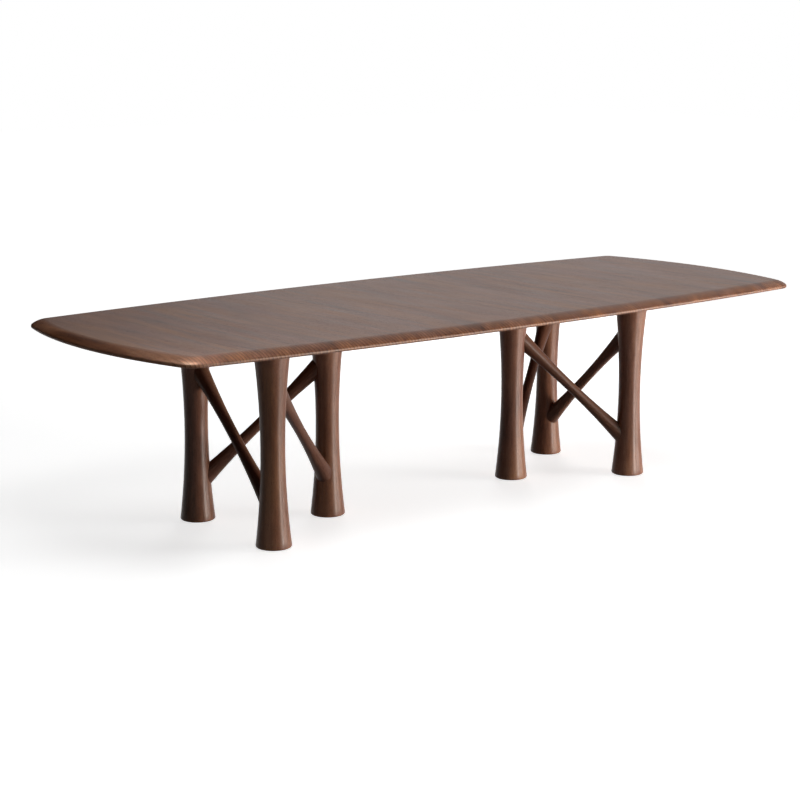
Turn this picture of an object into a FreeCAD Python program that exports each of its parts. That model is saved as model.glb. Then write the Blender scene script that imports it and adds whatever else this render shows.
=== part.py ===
import FreeCAD, Part
import math
import os
import Sketcher
from FreeCAD import Vector

# Dining table: a boat-shaped walnut top glued up from boards that run across it, on two bases.
# Each base is three waisted legs at the corners of an equal-sided triangle, tied by three braces.
# Every brace runs from high on one leg to low on the next one, the same way round.
# Millimetres, X along the table, Y across it, Z up. The origin is on the floor under the middle.

doc = FreeCAD.newDocument("dining_table")

# Driving dimensions
sizes = {
    # the whole table and the outline of its top
    "tableHeight": 775,
    "topLength": 3090,
    "topWidth": 1214,
    "topThickness": 32,
    "sideBow": 83,
    "endBow": 112,
    "cornerRadius": 75,
    # the rolled rim
    "rollWidth": 50,
    "rollDrop": 24,
    "crownRadius": 95,
    "noseRadius": 8,
    "underRound": 5,
    # boards and the loose tongues between them
    "boardCount": 20,
    "tongueThickness": 5,
    "tongueWidth": 24,
    "tongueLength": 880,
    "tongueLevel": 23,
    "tongueFit": 0.1,
    "tongueEndRoom": 1,
    # stiffening channels let into the underside
    "channelSpacing": 800,
    "channelLength": 2370,
    "channelWidth": 40,
    "channelHeight": 14,
    "channelWall": 3,
    "channelFit": 0.3,
    "channelScrewCount": 8,
    "slotTravel": 6,
    # how the legs stand, and how far left of the top's middle the two bases stand together
    "baseShift": 54,
    "baseSpacing": 1491,
    "legSpacing": 487,
    # leg
    "footRadius": 65,
    "waistRadius": 43.7,
    "headRadius": 70,
    "waistHeight": 354,
    "footRound": 7,
    # brace
    "braceTop": 599,
    "braceFoot": 134,
    "braceWaistRadius": 19.3,
    "braceEndRadius": 30,
    "braceShoulder": 78,
    "shoulderFit": 0.2,
    "tenonRadius": 11,
    "tenonStart": 38,
    "tenonRoot": 115,
    "tenonFit": 0.1,
    "tenonEndRoom": 1,
    # plate between a leg and the top
    "plateRadius": 96,
    "plateThickness": 5,
    "plateFit": 0.3,
    "plateScrewCount": 4,
    "plateScrewCircle": 82,
    # bolt through the plate into an insert in the leg
    "boltRadius": 5,
    "boltHeadRadius": 9.5,
    "boltLength": 40,
    "boltFit": 0.3,
    "insertRadius": 8,
    "insertLength": 25,
    "insertFit": 0.05,
    # countersunk wood screw
    "screwRadius": 2.2,
    "screwHeadRadius": 4.4,
    "screwLength": 17,
    "screwPointLength": 4,
    "screwFit": 0.1,
    "screwEndRoom": 1,
    "roundHeadRadius": 5,
    "roundHeadHeight": 2.5,
    # nylon glide under a leg
    "glideRadius": 45,
    "glideThickness": 6,
    "glideStand": 2,
    "glideRound": 1,
    "glideStemRadius": 5,
    "glideStemLength": 22,
    "glideFit": 0.2,
    # how far every cutter runs past the surface that it cuts
    "overrun": 20,
}

# Places worked out from the driving dimensions
worked = {
    "underside": "Sizes.tableHeight - Sizes.topThickness",
    "boardWidth": "Sizes.topLength / Sizes.boardCount",
    # long side and end arcs of the outline, each from its bow over the full length or width
    "sideRadius": "((Sizes.topLength / 2)^2 + Sizes.sideBow^2) / (2 * Sizes.sideBow)",
    "endRadius": "((Sizes.topWidth / 2)^2 + Sizes.endBow^2) / (2 * Sizes.endBow)",
    "sideCentre": "Sizes.topWidth / 2 - sideRadius",
    "endCentre": "Sizes.topLength / 2 - endRadius",
    # centre of a corner arc, which touches a side arc and an end arc from inside
    "sideReach": "sideRadius - Sizes.cornerRadius",
    "endReach": "endRadius - Sizes.cornerRadius",
    "centreSpan": "sqrt(sideCentre^2 + endCentre^2)",
    "spanAngle": "acos((sideReach^2 + centreSpan^2 - endReach^2) / (2 * sideReach * centreSpan))",
    "sideAngle": "spanAngle - atan(endCentre / sideCentre)",
    "cornerX": "sideReach * sin(sideAngle)",
    "cornerY": "sideCentre + sideReach * cos(sideAngle)",
    "endAngle": "atan(cornerY / (cornerX - endCentre))",
    "cornerAngle": "90 deg - sideAngle - endAngle",
    # legs stand on a circle round the middle of their base
    "legCircle": "Sizes.legSpacing / sqrt(3)",
    # a brace's axis between the axes of its two legs
    "braceFall": "Sizes.braceTop - Sizes.braceFoot",
    "braceLength": "sqrt(Sizes.legSpacing^2 + braceFall^2)",
    "braceSlope": "atan(braceFall / Sizes.legSpacing)",
    "mortiseStart": "Sizes.tenonStart - Sizes.tenonEndRoom",
    # stiffening channel
    "channelPitch": "Sizes.channelLength / Sizes.channelScrewCount",
    "tongueBed": "Sizes.tongueThickness + 2 * Sizes.tongueFit",
}


def makeSheet(name, cells):
    sheet = doc.addObject("Spreadsheet::Sheet", name)
    for row, (alias, content) in enumerate(cells.items(), start=1):
        sheet.set(f"A{row}", alias)
        sheet.set(f"B{row}", str(content) if name == "Sizes" else f"={content}")
        sheet.setAlias(f"B{row}", alias)
    doc.recompute()
    return sheet


sizeSheet = makeSheet("Sizes", sizes)
workedSheet = makeSheet("Worked", worked)


def value(formula):
    """Number that a formula over the two sheets gives now, for the first guess of a sketch."""
    result = sizeSheet.evalExpression(formula)
    return float(getattr(result, "Value", result))


def bind(thing, formulas):
    for name, formula in formulas.items():
        thing.setExpression(name, formula)


# Sketches
def originPlane(body, role):
    return next(part for part in body.Origin.OriginFeatures if part.Role == role)


def newBody(label):
    body = doc.addObject("PartDesign::Body", label)
    body.Label = label
    return body


def newSketch(body, name, role, offset=None):
    """Sketch on one of the body's own planes, moved by a placement formula."""
    sketch = body.newObject("Sketcher::SketchObject", name)
    sketch.AttachmentSupport = [(originPlane(body, role), "")]
    sketch.MapMode = "FlatFace"
    if offset:
        sketch.setExpression("AttachmentOffset", offset)
    return sketch


def dimension(sketch, kind, name, formula, *places):
    """Add a named dimension of the sketch and tie it to the sheets."""
    index = sketch.addConstraint(Sketcher.Constraint(kind, *places, value(formula)))
    sketch.renameConstraint(index, name)
    sketch.setExpression(f"Constraints.{name}", formula)


def pinPoint(sketch, name, geometry, point, across, up):
    """Tie a point to the sketch's origin by its two distances."""
    for axis, suffix, formula in (("DistanceX", "Across", across), ("DistanceY", "Up", up)):
        if formula == "0":
            rail = -2 if axis == "DistanceX" else -1
            sketch.addConstraint(Sketcher.Constraint("PointOnObject", geometry, point, rail))
        else:
            dimension(sketch, axis, name + suffix, formula, -1, 1, geometry, point)


def arcThrough(centre, start, end):
    """Counter-clockwise arc round a centre."""
    circle = Part.Circle(centre, Vector(0, 0, 1), centre.distanceToPoint(start))
    first = math.atan2(start.y - centre.y, start.x - centre.x)
    last = math.atan2(end.y - centre.y, end.x - centre.x)
    return Part.ArcOfCircle(circle, first, last)


def addOutline(sketch, corners):
    """Closed line through corners, each a pair of formulas, pinned at every corner."""
    points = [Vector(value(across), value(up), 0) for across, up in corners]
    first = sketch.GeometryCount
    count = len(points)
    for index in range(count):
        sketch.addGeometry(Part.LineSegment(points[index], points[(index + 1) % count]))
    for index in range(count):
        following = first + (index + 1) % count
        sketch.addConstraint(Sketcher.Constraint("Coincident", first + index, 2, following, 1))
        pinPoint(sketch, f"corner{first + index}", first + index, 1, *corners[index])


def addCircle(sketch, name, across, up, radius):
    centre = Vector(value(across), value(up), 0)
    index = sketch.addGeometry(Part.Circle(centre, Vector(0, 0, 1), value(radius)))
    pinPoint(sketch, name, index, 3, across, up)
    dimension(sketch, "Radius", name + "Radius", radius, index)


def addHollow(sketch, name, start, control, end):
    """Parabola between two points, drawn to a control point between them; returns its index."""
    curve = Part.BSplineCurve()
    poles = [Vector(value(across), value(up), 0) for across, up in (start, control, end)]
    curve.buildFromPolesMultsKnots(poles, [3, 3], [0, 1], False, 2)
    index = sketch.addGeometry(curve)
    sketch.exposeInternalGeometry(index)
    for pole, (across, up) in enumerate((start, control, end), start=1):
        pinPoint(sketch, f"{name}{pole}", index + pole, 3, across, up)
    return index


# Features
def pad(body, name, sketch, length):
    feature = body.newObject("PartDesign::Pad", name)
    feature.Profile = sketch
    feature.setExpression("Length", length)
    return feature


def pocket(body, name, sketch, depth, upward=True):
    """Cut along the sketch's normal, or against it."""
    feature = body.newObject("PartDesign::Pocket", name)
    feature.Profile = sketch
    feature.Reversed = upward
    feature.setExpression("Length", depth)
    return feature


def turn(body, kind, name, sketch, axis="V_Axis", angle=None):
    """Full turn of a sketch round its own axis, or a part of one."""
    feature = body.newObject(f"PartDesign::{kind}", name)
    feature.Profile = sketch
    feature.ReferenceAxis = (sketch, [axis])
    feature.Angle = 360
    if angle:
        feature.setExpression("Angle", angle)
    return feature


def roundEdges(body, name, base, edges, radius):
    feature = body.newObject("PartDesign::Fillet", name)
    feature.Base = (base, edges)
    feature.setExpression("Radius", radius)
    return feature


def edgesAtHeight(shape, height):
    """Names of the edges that lie level at a height."""
    names = []
    for index, edge in enumerate(shape.Edges, start=1):
        box = edge.BoundBox
        if math.isclose(box.ZMin, height, abs_tol=1e-6) and math.isclose(box.ZMax, height, abs_tol=1e-6):
            names.append(f"Edge{index}")
    return names


# Tabletop outline: two long side arcs, two end arcs and four corner arcs, all touching
def sketchTopOutline(body):
    sketch = newSketch(body, "top_outline", "XY_Plane")
    side = Vector(0, value("Worked.sideCentre"), 0)
    end = Vector(value("Worked.endCentre"), 0, 0)
    corner = Vector(value("Worked.cornerX"), value("Worked.cornerY"), 0)
    onSide = side + (corner - side).normalize() * value("Worked.sideRadius")
    onEnd = end + (corner - end).normalize() * value("Worked.endRadius")

    def flip(point, across, up):
        return Vector(point.x * across, point.y * up, 0)

    # arcs in order round the top, each with its centre, start and end
    rightEnd = arcThrough(end, flip(onEnd, 1, -1), onEnd)
    backRight = arcThrough(corner, onEnd, onSide)
    backSide = arcThrough(side, onSide, flip(onSide, -1, 1))
    backLeft = arcThrough(flip(corner, -1, 1), flip(onSide, -1, 1), flip(onEnd, -1, 1))
    leftEnd = arcThrough(flip(end, -1, 1), flip(onEnd, -1, 1), flip(onEnd, -1, -1))
    frontLeft = arcThrough(flip(corner, -1, -1), flip(onEnd, -1, -1), flip(onSide, -1, -1))
    frontSide = arcThrough(flip(side, 1, -1), flip(onSide, -1, -1), flip(onSide, 1, -1))
    frontRight = arcThrough(flip(corner, 1, -1), flip(onSide, 1, -1), flip(onEnd, 1, -1))
    arcs = [rightEnd, backRight, backSide, backLeft, leftEnd, frontLeft, frontSide, frontRight]
    sketch.addGeometry(arcs)
    for index in range(len(arcs)):
        following = (index + 1) % len(arcs)
        sketch.addConstraint(Sketcher.Constraint("Tangent", index, 2, following, 1))
    for index in (1, 3, 5, 7):
        dimension(sketch, "Radius", f"corner{index}Radius", "Sizes.cornerRadius", index)
    for index, name, across, up in (
        (0, "rightEnd", "Worked.endCentre", "0"),
        (2, "backSide", "0", "Worked.sideCentre"),
        (4, "leftEnd", "-Worked.endCentre", "0"),
        (6, "frontSide", "0", "-Worked.sideCentre"),
    ):
        radius = "Worked.endRadius" if name.endswith("End") else "Worked.sideRadius"
        dimension(sketch, "Radius", name + "Radius", radius, index)
        pinPoint(sketch, name, index, 3, across, up)
    return sketch


def cutRimSector(body, name, centreX, centreY, radius, start, angle):
    """Roll the rim over along one arc of the outline, by turning the cutter round that arc's centre."""
    offset = f"placement(vector({centreX}; 0; -({centreY})); rotationy({start}))"
    sketch = newSketch(body, f"{name}_roll", "XZ_Plane", offset)
    rim = value(radius)
    level = value("Sizes.topThickness - Sizes.rollDrop")
    crown = value("Sizes.crownRadius")
    nose = value("Sizes.noseRadius")
    brink = Vector(rim - value("Sizes.rollWidth"), value("Sizes.topThickness"), 0)
    lip = Vector(rim, level, 0)
    noseCentre = lip - Vector(nose, 0, 0)
    # the crown's arc passes through the brink and touches the nose's arc
    span = noseCentre - brink
    along = (span.Length ** 2 + crown ** 2 - (crown - nose) ** 2) / (2 * span.Length)
    aside = math.sqrt(crown ** 2 - along ** 2)
    unit = Vector(span).normalize()
    crownCentre = brink + unit * along + Vector(unit.y, -unit.x, 0) * aside
    touch = crownCentre + (noseCentre - crownCentre).normalize() * crown
    outer = rim + value("Sizes.overrun")
    upper = value("Sizes.topThickness + Sizes.overrun")
    corners = [lip, Vector(outer, level, 0), Vector(outer, upper, 0), Vector(brink.x, upper, 0), brink]
    sketch.addGeometry(arcThrough(crownCentre, touch, brink))
    sketch.addGeometry(arcThrough(noseCentre, lip, touch))
    for first, last in zip(corners, corners[1:]):
        sketch.addGeometry(Part.LineSegment(first, last))
    sketch.addConstraint(Sketcher.Constraint("Tangent", 0, 1, 1, 2))
    sketch.addConstraint(Sketcher.Constraint("Coincident", 1, 1, 2, 1))
    for index in (2, 3, 4):
        sketch.addConstraint(Sketcher.Constraint("Coincident", index, 2, index + 1, 1))
    sketch.addConstraint(Sketcher.Constraint("Coincident", 5, 2, 0, 2))
    for index, direction in ((2, "Horizontal"), (3, "Vertical"), (4, "Horizontal"), (5, "Vertical")):
        sketch.addConstraint(Sketcher.Constraint(direction, index))
    sketch.addConstraint(Sketcher.Constraint("Horizontal", 1, 3, 1, 1))
    dimension(sketch, "Radius", "crown", "Sizes.crownRadius", 0)
    dimension(sketch, "Radius", "nose", "Sizes.noseRadius", 1)
    pinPoint(sketch, "brink", 0, 2, f"{radius} - Sizes.rollWidth", "Sizes.topThickness")
    pinPoint(sketch, "lip", 1, 1, radius, "Sizes.topThickness - Sizes.rollDrop")
    pinPoint(sketch, "outside", 4, 1, f"{radius} + Sizes.overrun", "Sizes.topThickness + Sizes.overrun")
    return turn(body, "Groove", f"{name}_rim", sketch, angle=angle)


# Leg places: name, side of the table, and direction from the middle of its base in degrees
legPlaces = [
    ("left_back_leg", -1, 120),
    ("left_front_leg", -1, 240),
    ("left_inner_leg", -1, 0),
    ("right_back_leg", 1, 60),
    ("right_front_leg", 1, 300),
    ("right_inner_leg", 1, 180),
]


def legAxis(side, direction):
    """Formulas of the X and Y of a leg's axis."""
    across = f"{side} * Sizes.baseSpacing / 2 - Sizes.baseShift + Worked.legCircle * cos({direction} deg)"
    along = f"Worked.legCircle * sin({direction} deg)"
    return across, along


def legPlacement(side, direction, height="0", spin=0):
    """Placement formula of a leg's axis, turned so that its local X points away from the base's middle."""
    across, along = legAxis(side, direction)
    return f"placement(vector({across}; {along}; {height}); rotationz({direction + spin}))"


def channelScrewPlaces():
    """Formulas of the distances of a channel's screws from its middle."""
    count = int(value("Sizes.channelScrewCount"))
    return [f"({index} - ({count} - 1) / 2) * Worked.channelPitch" for index in range(count)]


def makeTopBlank():
    """The glued-up top, cut to its outline, rolled at the rim and routed from below."""
    body = newBody("top_blank")
    outline = sketchTopOutline(body)
    slab = pad(body, "top_slab", outline, "Sizes.topThickness")
    doc.recompute()
    roundEdges(body, "under_rounding", slab, edgesAtHeight(slab.Shape, 0), "Sizes.underRound")
    side, end, corner = "2 * Worked.sideAngle", "2 * Worked.endAngle", "Worked.cornerAngle"
    endRadius, sideRadius = "Worked.endRadius", "Worked.sideRadius"
    endX, sideY = "Worked.endCentre", "Worked.sideCentre"
    cornerX, cornerY = "Worked.cornerX", "Worked.cornerY"
    cutRimSector(body, "right_end", endX, "0", endRadius, "-Worked.endAngle", end)
    cutRimSector(body, "back_side", "0", sideY, sideRadius, "90 deg - Worked.sideAngle", side)
    cutRimSector(body, "left_end", f"-{endX}", "0", endRadius, "180 deg - Worked.endAngle", end)
    cutRimSector(body, "front_side", "0", f"-{sideY}", sideRadius, "270 deg - Worked.sideAngle", side)
    for name, centreX, centreY, start in (
        ("back_right", cornerX, cornerY, "Worked.endAngle"),
        ("back_left", f"-{cornerX}", cornerY, "90 deg + Worked.sideAngle"),
        ("front_left", f"-{cornerX}", f"-{cornerY}", "180 deg + Worked.endAngle"),
        ("front_right", cornerX, f"-{cornerY}", "270 deg + Worked.sideAngle"),
    ):
        cutRimSector(body, name, centreX, centreY, "Sizes.cornerRadius", start, corner)

    # round beds for the six leg plates, and pilot holes for their screws
    beds = newSketch(body, "plate_beds", "XY_Plane")
    pilots = newSketch(body, "plate_pilots", "XY_Plane")
    count = int(value("Sizes.plateScrewCount"))
    for name, side, direction in legPlaces:
        across, along = legAxis(side, direction)
        addCircle(beds, name, across, along, "Sizes.plateRadius + Sizes.plateFit")
        for index in range(count):
            turned = f"({direction} + 360 * ({index} + 1 / 2) / {count}) * 1 deg"
            holeX = f"{across} + Sizes.plateScrewCircle * cos({turned})"
            holeY = f"{along} + Sizes.plateScrewCircle * sin({turned})"
            addCircle(pilots, f"{name}{index}", holeX, holeY, "Sizes.screwRadius + Sizes.screwFit")
    pocket(body, "plate_bedding", beds, "Sizes.plateThickness")
    pocket(body, "plate_piloting", pilots, "Sizes.screwLength + Sizes.screwEndRoom")

    # for each channel a shallow bed for its web, two deep grooves for its walls, and pilot holes
    webs = newSketch(body, "web_beds", "XY_Plane")
    walls = newSketch(body, "wall_grooves", "XY_Plane")
    channelPilots = newSketch(body, "channel_pilots", "XY_Plane")
    bedEnd = "(Sizes.channelLength / 2 + Sizes.channelFit)"
    for name, side in (("front", -1), ("back", 1)):
        middle = f"{side} * Sizes.channelSpacing / 2"
        half = "(Sizes.channelWidth / 2 + Sizes.channelFit)"
        inner = "(Sizes.channelWidth / 2 - Sizes.channelWall - Sizes.channelFit)"
        for sketch, low, high in (
            (webs, f"{middle} - {half}", f"{middle} + {half}"),
            (walls, f"{middle} - {half}", f"{middle} - {inner}"),
            (walls, f"{middle} + {inner}", f"{middle} + {half}"),
        ):
            addOutline(sketch, [(f"-{bedEnd}", low), (bedEnd, low), (bedEnd, high), (f"-{bedEnd}", high)])
        for index, place in enumerate(channelScrewPlaces()):
            addCircle(channelPilots, f"{name}{index}", place, middle, "Sizes.screwRadius + Sizes.screwFit")
    pocket(body, "web_bedding", webs, "Sizes.channelWall")
    pocket(body, "wall_grooving", walls, "Sizes.channelHeight + Sizes.channelFit")
    pocket(body, "channel_piloting", channelPilots, "Sizes.screwLength + Sizes.screwEndRoom")
    body.setExpression("Placement.Base.z", "Worked.underside")
    return body


def makeBox(name, length, width, height, x, y, z):
    """Box centred on x and y, standing on z."""
    box = doc.addObject("Part::Box", name)
    bind(box, {"Length": length, "Width": width, "Height": height})
    bind(box, {"Placement.Base.x": f"{x} - ({length}) / 2", "Placement.Base.y": f"{y} - ({width}) / 2"})
    box.setExpression("Placement.Base.z", z)
    return box


def makeBoards(blank):
    """Part the routed blank into its boards, with a bed for a loose tongue in every joint."""
    count = int(value("Sizes.boardCount"))
    beds = doc.addObject("Part::MultiFuse", "tongue_beds")
    tongues = doc.addObject("Part::Compound", "board_tongues")
    bedBoxes = []
    tongueBoxes = []
    for index in range(1, count):
        joint = f"({index} - Sizes.boardCount / 2) * Worked.boardWidth"
        level = "Worked.underside + Sizes.tongueLevel"
        bedBoxes.append(makeBox(
            f"tongue_bed_{index:02d}",
            "Sizes.tongueWidth + 2 * Sizes.tongueEndRoom",
            "Sizes.tongueLength + 2 * Sizes.tongueEndRoom",
            "Worked.tongueBed",
            joint, "0", f"{level} - Worked.tongueBed / 2"))
        tongueBoxes.append(makeBox(
            f"tongue_{index:02d}",
            "Sizes.tongueWidth", "Sizes.tongueLength", "Sizes.tongueThickness",
            joint, "0", f"{level} - Sizes.tongueThickness / 2"))
    beds.Shapes = bedBoxes
    tongues.Links = tongueBoxes
    bedded = doc.addObject("Part::Cut", "bedded_top")
    bedded.Base = blank
    bedded.Tool = beds
    boards = []
    for index in range(count):
        slab = makeBox(
            f"board_slab_{index + 1:02d}",
            "Worked.boardWidth",
            "Sizes.topWidth + 2 * Sizes.overrun",
            "Sizes.topThickness + 2 * Sizes.overrun",
            f"({index} + 1 / 2 - Sizes.boardCount / 2) * Worked.boardWidth", "0",
            "Worked.underside - Sizes.overrun")
        board = doc.addObject("Part::Common", f"top_board_{index + 1:02d}")
        board.Base = bedded
        board.Tool = slab
        boards.append(board)
    return boards + [tongues]


def makeChannel(label, side):
    """Steel channel, web down and flush with the underside, with a slot at each screw."""
    body = newBody(label)
    atEnd = "placement(vector(0; 0; -Sizes.channelLength / 2); rotationz(0))"
    profile = newSketch(body, f"{label}_profile", "YZ_Plane", atEnd)
    half = "Sizes.channelWidth / 2"
    inner = "(Sizes.channelWidth / 2 - Sizes.channelWall)"
    addOutline(profile, [
        (f"-{half}", "0"), (half, "0"), (half, "Sizes.channelHeight"), (inner, "Sizes.channelHeight"),
        (inner, "Sizes.channelWall"), (f"-{inner}", "Sizes.channelWall"),
        (f"-{inner}", "Sizes.channelHeight"), (f"-{half}", "Sizes.channelHeight"),
    ])
    pad(body, f"{label}_bar", profile, "Sizes.channelLength")
    slots = newSketch(body, f"{label}_slots", "XY_Plane")
    radius = "(Sizes.screwRadius + Sizes.screwFit)"
    for place in channelScrewPlaces():
        reach = f"(Sizes.slotTravel / 2 + {radius})"
        addOutline(slots, [
            (f"{place} - {reach}", f"-{radius}"), (f"{place} + {reach}", f"-{radius}"),
            (f"{place} + {reach}", radius), (f"{place} - {reach}", radius),
        ])
    pocket(body, f"{label}_slotting", slots, "Sizes.channelWall")
    body.setExpression("Placement.Base.y", f"{side} * Sizes.channelSpacing / 2")
    body.setExpression("Placement.Base.z", "Worked.underside")
    return body


# Leg and brace
def sketchLegSide(sketch, growth="0"):
    """Half section of a leg: a hollow side that opens from the waist to the foot and to the head."""
    low = "Sizes.glideStand"
    high = "Worked.underside"
    waist = f"Sizes.waistRadius + {growth}"
    foot = (f"Sizes.footRadius + {growth}", f"{low} + Sizes.footRound")
    head = (f"Sizes.headRadius + {growth}", high)
    narrow = (waist, "Sizes.waistHeight")
    footControl = (waist, f"(Sizes.waistHeight + {low}) / 2")
    headControl = (waist, f"(Sizes.waistHeight + {high}) / 2")
    lower = addHollow(sketch, "lower", foot, footControl, narrow)
    upper = addHollow(sketch, "upper", narrow, headControl, head)
    heel = addHeel(sketch, lower, f"Sizes.footRadius + {growth} - Sizes.footRound", foot[1])
    addCap(sketch, upper, heel, ("0", high), ("0", low), join="Tangent")


def addHeel(sketch, curve, across, up):
    """Quarter round from a level sole up to the start of a curve; returns its index."""
    centre = Vector(value(across), value(up), 0)
    start = sketch.Geometry[curve].StartPoint
    below = centre - Vector(0, start.x - centre.x, 0)
    index = sketch.addGeometry(arcThrough(centre, below, start))
    sketch.addConstraint(Sketcher.Constraint("Coincident", index, 2, curve, 1))
    pinPoint(sketch, "heel", index, 3, across, up)
    return index


def addCap(sketch, last, first, farCorner, nearCorner, join="Coincident"):
    """Close a half section, from the end of its last curve, round by the axis, to its first curve."""
    corners = [
        sketch.Geometry[last].EndPoint,
        Vector(value(farCorner[0]), value(farCorner[1]), 0),
        Vector(value(nearCorner[0]), value(nearCorner[1]), 0),
        sketch.Geometry[first].StartPoint,
    ]
    base = sketch.GeometryCount
    for index in range(len(corners) - 1):
        sketch.addGeometry(Part.LineSegment(corners[index], corners[index + 1]))
    sketch.addConstraint(Sketcher.Constraint("Coincident", base, 1, last, 2))
    sketch.addConstraint(Sketcher.Constraint("Coincident", base, 2, base + 1, 1))
    sketch.addConstraint(Sketcher.Constraint("Coincident", base + 1, 2, base + 2, 1))
    sketch.addConstraint(Sketcher.Constraint(join, base + 2, 2, first, 1))
    pinPoint(sketch, "axisFar", base + 1, 1, *farCorner)
    pinPoint(sketch, "axisNear", base + 1, 2, *nearCorner)


def cutMortise(body, name, level, direction, slope):
    """Round mortise whose axis leaves the leg's axis at a level, in a direction, at a slope upward."""
    offset = (f"placement(vector(0; 0; {level}); rotationz({direction}) * rotationy(90 deg - ({slope})))"
              f" * placement(vector(0; 0; Worked.mortiseStart); rotationz(0))")
    sketch = newSketch(body, f"{name}_mouth", "XY_Plane", offset)
    addCircle(sketch, "mortise", "0", "0", "Sizes.tenonRadius + Sizes.tenonFit")
    return pocket(body, name, sketch, "Sizes.headRadius + Sizes.overrun")


def makeLeg(label, side, direction):
    body = newBody(label)
    profile = newSketch(body, f"{label}_profile", "XZ_Plane")
    sketchLegSide(profile)
    turn(body, "Revolution", f"{label}_post", profile)
    # a brace falls from here to the next leg round the base, and one comes up from the leg before
    cutMortise(body, f"{label}_upper_mortise", "Sizes.braceTop", "150 deg", "-Worked.braceSlope")
    cutMortise(body, f"{label}_lower_mortise", "Sizes.braceFoot", "210 deg", "Worked.braceSlope")
    atFoot = "placement(vector(0; 0; Sizes.glideStand); rotationz(0))"
    atHead = "placement(vector(0; 0; Worked.underside); rotationz(0))"
    bed = newSketch(body, f"{label}_glide_bed", "XY_Plane", atFoot)
    addCircle(bed, "bed", "0", "0", "Sizes.glideRadius + Sizes.glideFit")
    pocket(body, f"{label}_glide_bedding", bed, "Sizes.glideThickness - Sizes.glideStand")
    stem = newSketch(body, f"{label}_stem_hole", "XY_Plane", atFoot)
    addCircle(stem, "stem", "0", "0", "Sizes.glideStemRadius + Sizes.glideFit")
    stemDepth = "Sizes.glideThickness - Sizes.glideStand + Sizes.glideStemLength + Sizes.screwEndRoom"
    pocket(body, f"{label}_stem_drilling", stem, stemDepth)
    socket = newSketch(body, f"{label}_insert_hole", "XY_Plane", atHead)
    addCircle(socket, "socket", "0", "0", "Sizes.insertRadius + Sizes.insertFit")
    pocket(body, f"{label}_insert_boring", socket, "Sizes.insertLength", upward=False)
    tip = newSketch(body, f"{label}_bolt_hole", "XY_Plane", atHead)
    addCircle(tip, "tip", "0", "0", "Sizes.boltRadius + Sizes.boltFit")
    pocket(body, f"{label}_bolt_drilling", tip, "Sizes.boltLength", upward=False)
    body.setExpression("Placement", legPlacement(side, direction))
    return body


def sketchSpindle(sketch):
    """Half section of a brace along its axis, one hollow side from leg axis to leg axis."""
    flare = "(Sizes.braceEndRadius - Sizes.braceWaistRadius)"
    stretch = "(Worked.braceLength / (Worked.braceLength - 2 * Sizes.braceShoulder))"
    rise = f"{flare} * {stretch}^2"
    near = ("0", f"Sizes.braceWaistRadius + {rise}")
    middle = ("Worked.braceLength / 2", f"Sizes.braceWaistRadius - {rise}")
    far = ("Worked.braceLength", f"Sizes.braceWaistRadius + {rise}")
    side = addHollow(sketch, "side", near, middle, far)
    addCap(sketch, side, side, ("Worked.braceLength", "0"), ("0", "0"))


def makeBrace(label, side, direction):
    """Brace from high on the leg in this direction to low on the next leg of its base."""
    body = newBody(label)
    # in the body's own frame the high leg stands on the origin and the low one further along X
    along = "placement(vector(0; Sizes.braceTop; 0); rotationz(-Worked.braceSlope))"
    profile = newSketch(body, f"{label}_profile", "XZ_Plane", along)
    sketchSpindle(profile)
    turn(body, "Revolution", f"{label}_spindle", profile, axis="H_Axis")
    # shoulders coped to the legs, with room for glue
    for name, legX in (("high", "0"), ("low", "Sizes.legSpacing")):
        offset = f"placement(vector({legX}; 0; 0); rotationz(0))"
        cope = newSketch(body, f"{label}_{name}_cope", "XZ_Plane", offset)
        sketchLegSide(cope, "Sizes.shoulderFit")
        turn(body, "Groove", f"{label}_{name}_coping", cope)
    start, root = "Sizes.tenonStart", "Sizes.tenonRoot"
    for name, low, high in (
        ("high", start, root),
        ("low", f"Worked.braceLength - {root}", f"Worked.braceLength - {start}"),
    ):
        tenon = newSketch(body, f"{label}_{name}_tenon", "XZ_Plane", along)
        thick = "Sizes.tenonRadius"
        addOutline(tenon, [(low, "0"), (high, "0"), (high, thick), (low, thick)])
        turn(body, "Revolution", f"{label}_{name}_tenoning", tenon, axis="H_Axis")
    body.setExpression("Placement", legPlacement(side, direction, spin=150))
    return body


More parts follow.
